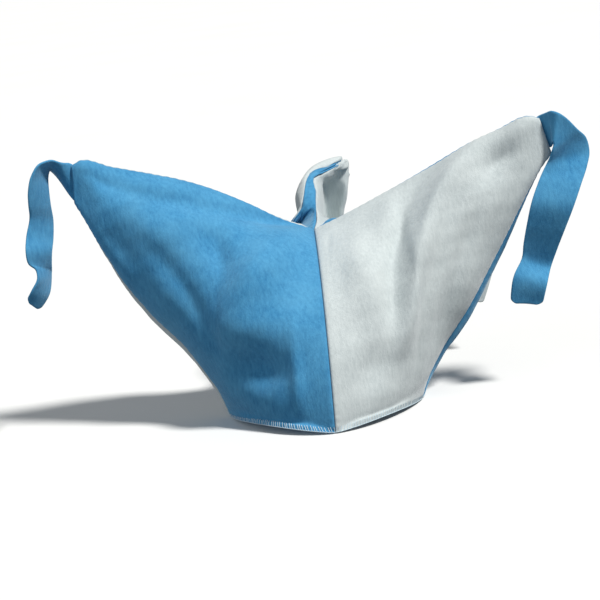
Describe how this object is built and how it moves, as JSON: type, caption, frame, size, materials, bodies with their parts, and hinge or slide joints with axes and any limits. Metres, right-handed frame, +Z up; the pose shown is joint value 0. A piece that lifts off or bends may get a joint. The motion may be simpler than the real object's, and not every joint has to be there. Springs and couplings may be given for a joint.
{
  "type": "jester hat",
  "caption": "Soft fleece jester hat with an open brim, horns of alternating blue and white half panels to the sides and back, and a cloth strip at each horn's end",
  "frame": {"origin": "the middle of the brim, on the level that the brim stands on", "axes": "+Z is up out of the crown, -Y is the face side, +X is the right-hand side for someone who looks at the front"},
  "size_m": [0.4744, 0.2691, 0.2379],
  "materials": {
    "blue_fleece": "brushed knitted fleece, matt, with a short soft pile",
    "white_fleece": "brushed knitted fleece, matt, with a short soft pile"
  },
  "bodies": {
    "root": {"left_front_panel": "blue_fleece", "left_back_panel": "white_fleece", "right_front_panel": "white_fleece", "right_back_panel": "blue_fleece", "back_right_panel": "white_fleece", "back_left_panel": "blue_fleece", "left_tail": "blue_fleece", "right_tail": "blue_fleece", "back_tail": "white_fleece"}
  },
  "joints": []
}
